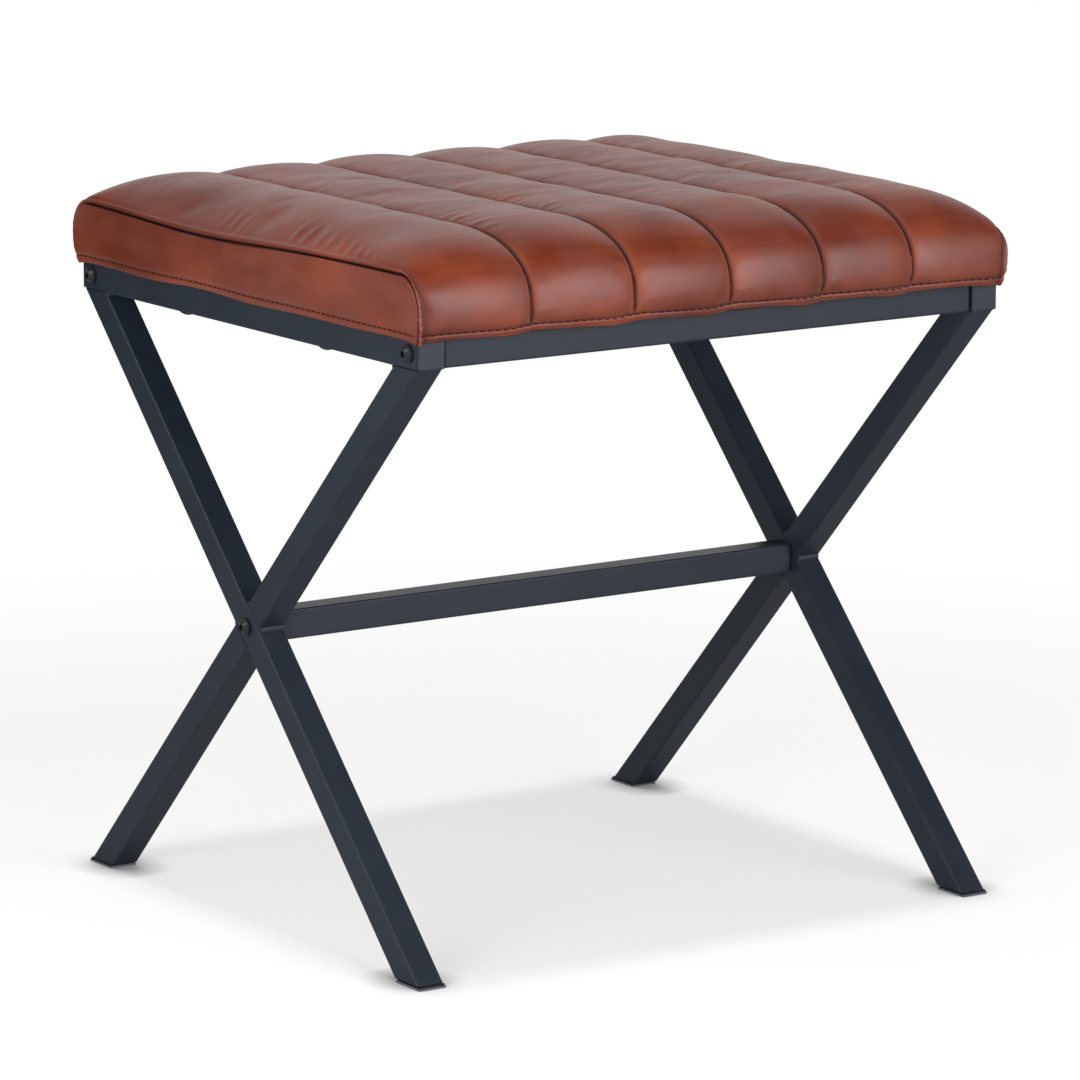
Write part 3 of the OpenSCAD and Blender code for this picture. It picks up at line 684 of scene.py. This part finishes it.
def cover_relief(skin, s):
    """Height over the smooth cover, painted light (shade above 0, highlight below 0), and
    closeness to a side seam, by column and row: seams with gathers beside them, a stitched groove
    above each hem, and a slight unevenness of each channel made of three sines."""
    chance = np.random.default_rng(7)
    run_x, run_y = run_along(skin, 0), run_along(skin, 1)
    hem = np.minimum(run_y, run_y[:, -1:] - run_y)
    y = skin[..., 1]
    height, crease = np.zeros(y.shape), np.zeros(y.shape)
    dimple = 0.5 + 0.5 * np.cos(2 * np.pi * run_y / stitch_pitch)
    above_hem = np.clip((hem - stitch_run) / (5 * mm), 0, 1)
    for k in range(len(seam_x) - 1):
        part = slice(k * steps, (k + 1) * steps + 1)
        for first in (True, False):
            run = run_x[part] - run_x[k * steps] if first else run_x[(k + 1) * steps] - run_x[part]
            outer = k == 0 if first else k == len(seam_x) - 2
            if outer:
                knotted = 0.35 if first else 0.06
                up, deep = side_seam_relief(run, run_y[part], y[part], hem[part], dimple[part], knotted)
            else:
                # Painted highlight along the seam's edge, stronger to the left of the seam.
                edge_highlight = 0.2 if first else 0.6
                up, deep = channel_seam_relief(run, dimple[part], above_hem[part], edge_highlight)
            height[part] += up
            crease[part] += deep
            spread = (np.arange(gathers) + chance.uniform(0.1, 0.9, gathers)) / gathers - 0.5
            small = zip(gather_span * spread, chance.uniform(3, 5, gathers),
                        chance.uniform(9, 20, gathers), chance.uniform(-0.12, 0.2, gathers),
                        chance.uniform(-0.3, 0.3, gathers))
            height[part] += puckers(run, y[part], small, (3 if outer else 0.5) * mm)
            if first:
                large = [(*size, large_slant) for size in large_puckers.get(k, [])]
                height[part] += puckers(run, y[part], large, (6 if outer else 0.5) * mm)
        phase = chance.uniform(0, 2 * np.pi, 3)
        inner = 1 - np.abs(s[part, None]) ** 2
        height[part] += 0.3 * mm * inner * sum(
            np.sin(run_y[part] / (n * mm) + p + s[part, None]) for n, p in zip((11, 17, 29), phase))
    height += hem_height(hem, skin[..., 0])
    # Painted shade in the stitched groove above each hem, deepest at each stitch.
    stitch_groove_shade = 0.6 - 0.3 * np.cos(2 * np.pi * skin[..., 0] / stitch_pitch)
    crease += stitch_groove_shade * bell(hem - stitch_run - 0.5 * mm, 0.7 * mm)
    # Painted shade over the hem's band, and a painted highlight on the lip's lit top edge.
    crease += 0.25 * bell(hem - stitch_run, 7 * mm) - 0.6 * bell(hem - stitch_run + 0.9 * mm, 0.6 * mm)
    return height, crease, fold(np.minimum(run_x, run_x[-1:] - run_x), 0.7 * mm)


def hem_height(hem, place):
    """Height of the hem by the distance above its edge: a lip that stands proud, with a bump
    between each two stitches, a sharp groove above it, and a slight swell above that."""
    lip = 0.5 - 0.5 * np.tanh((hem - stitch_run) / (0.36 * mm))
    bumps = 0.15 * np.cos(2 * np.pi * place / stitch_pitch) * bell(hem - stitch_run + 0.8 * mm, mm)
    groove = (1 - lip) * np.exp(-np.maximum(hem - stitch_run, 0) / (1.3 * mm))
    return (0.55 * lip * (1 - 0.5 * bell(hem, 1.5 * mm)) + bumps - 1.1 * groove
            + 0.4 * bell(hem - stitch_run - 5 * mm, 3.5 * mm)) * mm


def hem_wave(s, x):
    """Up and down of the hem's edge by column: lowest before each seam, with two sines, and a dip
    at either corner."""
    wave = -1.3 * bell(s - 0.62, 0.36) + 0.35 * np.sin(x / (13 * mm)) + 0.45 * np.sin(x / (29 * mm) + 1)
    corner = np.minimum(x - seam_x[0], seam_x[-1] - x)
    return (wave + 0.7 - 2.0 * bell(corner, 9 * mm)) * mm


def channel_cover(material):
    """Closed piece: the outer skin with its relief, tucked in at the side seams, a lip along both
    hems, and a plainer inner skin that keeps clear of the foam and the side panels. Each column
    is one ring."""
    s, x = across_channels(steps)
    rows = along_channels(*fine_grid[1:])
    skin = blown_up(s, x, rows)
    height, crease, on_seam = cover_relief(skin, s)
    normal = outward(skin, seat_inside)
    front = np.abs(normal[..., 1])
    outer = skin + normal * (height - (2.1 - 0.9 * front) * mm * on_seam)[..., None]
    outer[..., 0] -= np.sign(x)[:, None] * 1.1 * mm * front * on_seam
    outer[..., 2] += hem_wave(s, x)[:, None] * rows[2] ** 3
    lip = outer[:, [-1, 0]] * (1, 1 - hem_lip[0] / cover_half_d, 1) - (0, 0, hem_lip[1])
    base = cover_surface(s, x, rows)[:, ::-inner_every]
    from_end = np.minimum(x - x[0], x[-1] - x)[:, None]
    thick = leather_thick + quilting * np.clip(from_end / (14 * mm), 0, 1)
    share = (base[..., 2] - hem_z) / (base[..., 2].max(1, keepdims=True) - hem_z)
    inner = base * (1 - inner_in[0] / x[-1], 1 - inner_in[1] / cover_half_d, 1)
    inner[..., 2] -= thick * share
    rings = np.concatenate([outer, lip[:, :1], inner, lip[:, 1:]], 1)
    count, size = rings.shape[:2]
    number = np.arange(count * size).reshape(count, size)
    over, under = len(rows[0]), base.shape[1]
    faces = tube_faces(count, size)[:, ::-1].tolist()
    for column, turn in ((number[0], -1), (number[-1], 1)):
        end = bridge(column[:over][::-1], column[over + 1:over + 1 + under])
        end += [[column[over + 1], column[over], column[over - 1]],
                [column[0], column[-1], column[over + under]]]
        faces += [[int(v) for v in face][::turn] for face in end]
    piece = make_mesh("channel_cover", rings, faces, material)
    store_painted_light(piece, np.concatenate([crease, np.zeros((count, size - over))], 1))
    return piece, outer


def leather():
    """Bonded leather with a pull-up finish: reddish brown in clouds of 60 mm, with purplish patches
    of 28 mm and darker streaks, along X on top and along Y below. It is dull in the creases, and
    painted shade darkens them and the hems, while painted highlights make the seams' edges and the
    hems' lips paler, with a fine grain of cells drawn at 1.4 mm."""
    material, add, place = new_material("bonded_leather_pull_up")
    facing = add("SeparateXYZ", {0: (place[0], "Normal")})
    on_top = add("MapRange", {"Value": (facing, "Z"), "From Min": 0.25, "From Max": 0.6})

    def clouds(size, stretch=(1, 1, 1), low=0.35, high=0.65):
        """Patches of a size in mm, stretched where a factor is below 1, with contrast raised."""
        drawn = add("Mapping", {"Vector": place, "Scale": stretch})
        soft = add("TexNoise",
                   {"Vector": (drawn, "Vector"), "Scale": 1 / (size * mm), "Detail": 3.0})
        clear = add("MapRange", {"Value": (soft, "Fac"), "From Min": low, "From Max": high})
        return clear, "Result"

    streak = add("Mix",
                 {0: (on_top, "Result"), 2: clouds(14, (1, 0.5, 0.8)), 3: clouds(6, (0.12, 1, 1))})
    warm = add("Mix", {0: clouds(60, (1, 0.6, 1)), 6: "#67270f", 7: "#873e24"}, data_type="RGBA")
    tinted = add("Mix", {0: clouds(28, (1, 0.5, 1), 0.45, 0.75), 6: (warm, 2), 7: "#74382c"},
                 data_type="RGBA")
    tired = add("MapRange", {"Value": (streak, 0), "To Min": 0.16, "To Max": 0.0})
    darker = add("Mix", {0: (tired, "Result"), 6: (tinted, 2), 7: "#42160d"}, data_type="RGBA")
    # Painted light: the stored value paints shade where above 0 and highlights where below 0.
    wear = add("Attribute", attribute_name="wear")
    painted_highlight = add("Math", {0: (wear, "Fac"), 1: -0.6}, operation="MULTIPLY", use_clamp=True)
    paler = add("Mix", {0: (painted_highlight, 0), 6: (darker, 2), 7: "#b06c4f"}, data_type="RGBA")
    deep = add("Math", {0: (wear, "Fac"), 1: 0.8}, operation="MULTIPLY", use_clamp=True)
    shade = add("Mix", {0: (deep, 0), 6: (paler, 2), 7: "#30100a"}, data_type="RGBA")
    grain = add("TexVoronoi", {"Vector": place, "Scale": 1 / (1.4 * mm)})
    bump = add("Bump", {"Strength": 0.12, "Distance": 0.1 * mm, "Height": (grain, "Distance")})
    gloss = add("MapRange", {"Value": (streak, 0), "To Min": 0.35, "To Max": 0.43})
    dull = add("Mix", {0: (deep, 0), 2: (gloss, "Result"), 3: 0.9})
    surface = add("BsdfPrincipled", {"Base Color": (shade, 2), "Roughness": (dull, 0),
                  "Specular IOR Level": 0.6, "Normal": (bump, "Normal")})
    add("OutputMaterial", {"Surface": (surface, 0)})
    return material


hide = leather()
cover, cover_skin = channel_cover(hide)
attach(cover, "root")
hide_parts("channel_panel")

# Side panels: one flat piece of the same leather at each end, with a thin foam behind it, sewn
# to the channelled cover all round and hemmed below.
panel_lap = 1.4 * mm
seam_lap = 1.3 * mm
panel_back = 4.4 * mm
panel_in = 1.5 * mm
panel_swell = 1.5 * mm
panel_columns = 301
panel_shoulder = 64


def side_cover(side, name, material):
    """Closed side panel and its outer face. Its outline rises from the hem and rounds over at the
    corners as the cover's end does, and it swells outwards by a sine of the height times 1 - t^2,
    with t from -1 to 1 along it. The edges are tucked in under the seam and the hem has a stitched
    groove and a wave like the cover's."""
    angle, drop = (values[:low_rows + panel_shoulder + 1]
                   for values in along_channels(low_rows, panel_shoulder, 1)[1:])
    reach = cover_half_d - corner_round[side] * (1 - np.cos(angle)) - hem_in * drop ** 2
    reach -= panel_lap * np.cos(angle)
    seam_rise = seam_h[side] - widest_z + rail_top - seam_lap
    z = widest_z - (widest_z - hem_z) * drop + seam_rise * np.sin(angle)
    t = np.linspace(-1, 1, panel_columns)
    t = 0.7 * t + 0.3 * np.sin(0.5 * np.pi * t)
    bulge = panel_swell * np.outer(np.sin(np.pi * (z - hem_z) / (z[-1] - hem_z)), 1 - t ** 2)
    out = cover_w / 2 - hem_end_in * (drop ** 2)[:, None] + bulge
    y = np.outer(reach, t)
    dip = seam_dip[side] * np.sin(angle)[:, None] * bell(y - dip_y, dip_width)
    face = np.stack([out, y, z[:, None] - dip], -1)
    run_y, run_z = run_along(face, 1), run_along(face, 0)
    edge = np.minimum(np.minimum(run_y, run_y[:, -1:] - run_y), run_z[-1:] - run_z)
    height = 0.12 * mm * bell(edge - 2 * mm, 1 * mm) - 0.15 * mm * bell(edge - 3.8 * mm, 1 * mm)
    height += hem_height(run_z, face[..., 1]) * 0.8 - 2.0 * mm * fold(edge, 0.65 * mm)
    uneven = np.sin(face[..., 1] / (23 * mm) + face[..., 2] / (9 * mm))
    height += 0.25 * mm * uneven * np.clip(edge / (12 * mm), 0, 1)
    # Painted shade along the tucked-in edges under the seam and in the hem's stitched groove.
    crease = bell(edge, 0.8 * mm) + 0.6 * bell(run_z - stitch_run - 0.4 * mm, 0.7 * mm)
    face[..., 0] += height
    wave = 0.5 * np.sin(face[..., 1] / (19 * mm) + side) + 0.5 * np.sin(face[..., 1] / (31 * mm)) + 0.2
    wave -= 2.0 * bell(cover_half_d - np.abs(face[..., 1]), 9 * mm)
    face[..., 2] += wave * mm * (drop ** 3)[:, None]
    back_face = face[:, ::-inner_every].copy()
    back_face[..., 0] = cover_w / 2 - panel_back
    back_face[..., 1] *= 1 - panel_in / cover_half_d
    rings = np.concatenate([face, back_face], 1)
    count, size = rings.shape[:2]
    number = np.arange(count * size).reshape(count, size)
    faces = tube_faces(count, size).tolist()
    for row, turn in ((number[0], 1), (number[-1], -1)):
        faces += [[int(v) for v in f][::turn] for f in bridge(row[:t.size][::-1], row[t.size:])]
    rings[..., 0] *= side
    faces = [f[::side] for f in faces]
    piece = make_mesh(name, rings, faces, material)
    store_painted_light(piece, np.concatenate([crease, np.zeros(back_face.shape[:2])], 1))
    face[..., 0] *= side
    return piece, face


side_skins = {}
for side, word in ((-1, "left"), (1, "right")):
    piece, side_skins[side] = side_cover(side, f"{word}_side_cover", hide)
    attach(piece, "root")
    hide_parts(f"{word}_side_panel")

# Stitches: waxed polyester thread of 0.8 mm in a darker brown than the leather, at 6 mm, along
# both long hems, the hems of the side panels and the channel seams, each one pulled in at its ends.
thread_r = 0.42 * mm
stitch_len = 4 * mm
stitch_rings, stitch_sides = 7, 6
thread_line = stitch_run + 0.5 * mm
panel_inside = (0, 0, 440 * mm)


def sample(grid, i, j):
    """Values of a grid at fractional places, by its four neighbours."""
    i0 = np.clip(i.astype(int), 0, grid.shape[0] - 2)
    j0 = np.clip(j.astype(int), 0, grid.shape[1] - 2)
    u, v = (i - i0)[:, None], (j - j0)[:, None]
    return ((1 - u) * (1 - v) * grid[i0, j0] + u * (1 - v) * grid[i0 + 1, j0]
            + (1 - u) * v * grid[i0, j0 + 1] + u * v * grid[i0 + 1, j0 + 1])


def stitch_row(path, out, lift):
    """Rings of the stitches along a path, spaced evenly on its length: each is an arch, highest in
    the middle by a parabola, whose thickness narrows to its two ends."""
    run = np.append(0, np.cumsum(np.linalg.norm(np.diff(path, axis=0), axis=1)))
    number = int(run[-1] / stitch_pitch)
    at = (np.arange(number) + 0.5) * run[-1] / number

    def along(values, shift=0):
        """Values of the path at the stitches."""
        return np.stack([np.interp(at + shift, run, values[:, k]) for k in range(3)], -1)

    middle, up = along(path), along(out)
    way = along(path, stitch_len / 2) - along(path, -stitch_len / 2)
    way /= np.linalg.norm(way, axis=1, keepdims=True)
    up -= way * np.sum(way * up, 1, keepdims=True)
    up /= np.linalg.norm(up, axis=1, keepdims=True)
    beside = np.cross(way, up)
    u = np.linspace(-1, 1, stitch_rings)[None, :, None, None]
    turn = (2 * np.pi * np.arange(stitch_sides, 0, -1) / stitch_sides)[None, None, :, None]
    thick = thread_r * np.sqrt(1.02 - u ** 2)
    centre = middle[:, None, None] + way[:, None, None] * u * stitch_len / 2 \
        + up[:, None, None] * (lift - 0.5 * mm * u ** 2)
    return centre + thick * (np.cos(turn) * beside[:, None, None] + np.sin(turn) * up[:, None, None])


def thread():
    """Waxed polyester thread: two plies drawn as a fine wave, a dark reddish brown."""
    material, add, place = new_material("polyester_thread_waxed")
    ply = add("TexNoise", {"Vector": place, "Scale": 1 / (0.7 * mm), "Detail": 2.0})
    shade = add("Mix", {0: (ply, "Fac"), 6: "#2c0d08", 7: "#4e1b10"}, data_type="RGBA")
    bump = add("Bump", {"Strength": 0.4, "Distance": 0.1 * mm, "Height": (ply, "Fac")})
    surface = add("BsdfPrincipled", {"Base Color": (shade, 2), "Roughness": 0.75,
                  "Specular IOR Level": 0.15, "Normal": (bump, "Normal")})
    add("OutputMaterial", {"Surface": (surface, 0)})
    return material


# Each row's path is sampled at half steps of the grid, and starts a few steps from its ends.
hem_rows = run_along(cover_skin, 1)
cover_out = outward(cover_skin, seat_inside)
paths = []
column = np.arange(5, cover_skin.shape[0] - 6, 0.5)
for back_side in (False, True):
    runs = ((run[-1] - run)[::-1] if back_side else run for run in hem_rows)
    line = np.array([np.interp(thread_line, run, np.arange(run.size)) for run in runs])
    line = np.interp(column, np.arange(line.size), line)
    if back_side:
        line = cover_skin.shape[1] - 1 - line
    paths.append((cover_skin, cover_out, column, line, 0.35 * mm))
row = np.arange(low_rows / 2, cover_skin.shape[1] - low_rows / 2, 0.5)
for k in range(1, len(seam_x) - 1):
    seam = np.full(row.size, float(steps * k))
    paths.append((cover_skin, cover_out, seam, row, 0.25 * mm))
for side in (-1, 1):
    grid = side_skins[side]
    place = np.arange(4, grid.shape[1] - 5, 0.5)
    run = run_along(grid, 0)[:, grid.shape[1] // 2]
    level_row = np.full(place.size, np.interp(thread_line, run, np.arange(run.size)))
    paths.append((grid, outward(grid, panel_inside), level_row, place, 0.3 * mm))
rows_of_stitches = [stitch_row(sample(skin, i, j), sample(out, i, j), lift)
                    for skin, out, i, j, lift in paths]
stitches = joined_tubes("stitches", np.concatenate(rows_of_stitches), thread())
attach(stitches, "root")

# Floor and light: a white sweep under a soft light from straight above, a large bluish panel low in
# front and fills from the left, in a glow that dims to the left, overhead and far to the right.
# A dark flag behind the left side is seen by reflections only.


def white_floor():
    """White studio floor: near the stool partly lit and partly bright of itself, so that the shadow
    stays pale; away from it only bright of itself. A painted contact shadow from ambient occlusion
    darkens both parts round the feet. It lights the stool less than it shows."""
    material, add, place = new_material("painted_floor_white")
    far = add("VectorMath", {0: place}, operation="LENGTH")
    fade = add("MapRange", {"Value": (far, "Value"), "From Min": 0.5, "From Max": 1.2,
               "To Min": 0.555, "To Max": 1.0}, interpolation_type="SMOOTHSTEP")
    path = add("LightPath")
    dimmed = add("MapRange", {"Value": (path, "Is Glossy Ray"), "To Min": 1.0, "To Max": 0.4})
    # Painted shadow: ambient occlusion within 25 mm darkens the floor round the feet.
    open_sky = add("AmbientOcclusion", {"Distance": 25 * mm}, samples=8)
    painted_contact_shadow = add("MapRange", {"Value": (open_sky, "AO"), "From Min": 0.4, "To Min": 0.3})
    shaded = add("Math", {0: (dimmed, "Result"), 1: (painted_contact_shadow, "Result")}, operation="MULTIPLY")
    lit = add("BsdfDiffuse", {"Color": (shaded, 0)})
    straight = add("Math", {0: (path, "Is Camera Ray"), 1: (path, "Is Transmission Ray")},
                   operation="MAXIMUM")
    strength = add("Math", {0: (straight, 0), 1: 0.33}, operation="MAXIMUM")
    bright = add("Emission", {"Color": (painted_contact_shadow, "Result"), "Strength": (strength, 0)})
    surface = add("MixShader", {0: (fade, "Result"), 1: (lit, 0), 2: (bright, 0)})
    add("OutputMaterial", {"Surface": (surface, 0)})
    return material


def dark_cloth():
    """Cloth of the flag, grey on its outer end and black on its inner one."""
    material, add, place = new_material("cloth_grey_to_black")
    parts = add("SeparateXYZ", {0: place})
    fade = add("MapRange", {"Value": (parts, "X"), "From Min": -1.0, "From Max": -0.72,
               "To Min": 0.9, "To Max": 0.0})
    surface = add("Emission", {"Strength": (fade, "Result")})
    add("OutputMaterial", {"Surface": (surface, 0)})
    return material


def studio_glow():
    """World brightest to the right of the front and of the back, dim to the left, overhead and
    far to the right, with a dark patch high on the right, and a cooler back than front."""
    world = bpy.data.worlds.new("studio")
    world.use_nodes = True
    world.node_tree.nodes.clear()
    add = partial(add_node, world)
    direction = add("TexCoord")
    parts = add("SeparateXYZ", {0: (direction, "Generated")})
    high_right = add("VectorMath", {0: (direction, "Generated"), 1: (0.56, -0.08, 0.82)},
                     operation="DOT_PRODUCT")
    # Each fade: what it follows, where it begins and ends, and the strength before and after it.
    level = 1.0
    for value, first, last, before, after in (
            ((parts, "X"), -0.6, 0.5, 0.5, 1.15), ((parts, "X"), 0.65, 0.9, 1.0, 0.35),
            ((high_right, "Value"), 0.84, 0.93, 1.0, 0.0), ((parts, "Z"), 0.4, 0.8, 1.0, 0.55)):
        fade = add("MapRange", {"Value": value, "From Min": first, "From Max": last,
                   "To Min": before, "To Max": after}, interpolation_type="SMOOTHSTEP")
        level = add("Math", {0: (fade, "Result"), 1: level}, operation="MULTIPLY"), 0
    behind = add("MapRange", {"Value": (parts, "Y"), "From Min": -0.2, "From Max": 0.7},
                 interpolation_type="SMOOTHSTEP")
    colour = add("Mix", {0: (behind, "Result"), 6: (0.72, 0.66, 0.64, 1),
                 7: (0.78, 0.76, 0.77, 1)}, data_type="RGBA")
    glow = add("Background", {"Color": (colour, 2), "Strength": level})
    add("OutputWorld", {"Surface": (glow, 0)})
    return world


def light(name, kind, place, power, colour, aim=(0, 0, 0.45), **settings):
    """Lamp at a place, aimed at a point."""
    data = bpy.data.lights.new(name, kind)
    data.energy, data.color = power, colour
    for key, value in settings.items():
        setattr(data, key, value)
    made = bpy.data.objects.new(name, data)
    made.location = place
    made.visible_camera = False
    made.rotation_euler = (Vector(aim) - Vector(place)).to_track_quat("-Z", "Y").to_euler()
    bpy.context.scene.collection.objects.link(made)
    return made


floor_reach = 30
floor = make_mesh("floor", floor_reach * np.array([(-1, -1, 0), (1, -1, 0), (1, 1, 0), (-1, 1, 0)]),
                  [(0, 1, 2, 3)], white_floor())
floor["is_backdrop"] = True
flag = make_mesh("flag", [(-1.3, 0.35, 0.02), (-0.35, 1.2, 0.02), (-0.35, 1.2, 1), (-1.3, 0.35, 1)],
                 [(0, 1, 2, 3)], dark_cloth())
for ray in ("camera", "diffuse", "shadow", "transmission"):
    setattr(flag, f"visible_{ray}", False)
flag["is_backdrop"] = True
overhead = light("overhead", "SUN", (0, 0, 3), 1.1, (1, 1, 1), (0, 0, 0), angle=math.radians(6))
overhead.visible_glossy = False
light("front_panel", "AREA", (0.62, -2.05, 0.92), 26, (0.92, 0.89, 0.96),
      shape="RECTANGLE", size=1.5, size_y=1.8)
side_fill = light("side_fill", "AREA", (-1.4, -0.8, 0.5), 21, (1, 0.97, 0.95),
                  shape="RECTANGLE", size=1, size_y=0.8)
side_fill.visible_glossy = False
edge_light = light("edge_light", "AREA", (-1.9, -0.3, 2.0), 16, (0.95, 0.97, 1),
                   shape="SQUARE", size=0.9)
edge_light.visible_diffuse = False
bpy.context.scene.world = studio_glow()
bpy.context.scene.view_settings.view_transform = "Standard"

low, high_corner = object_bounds()
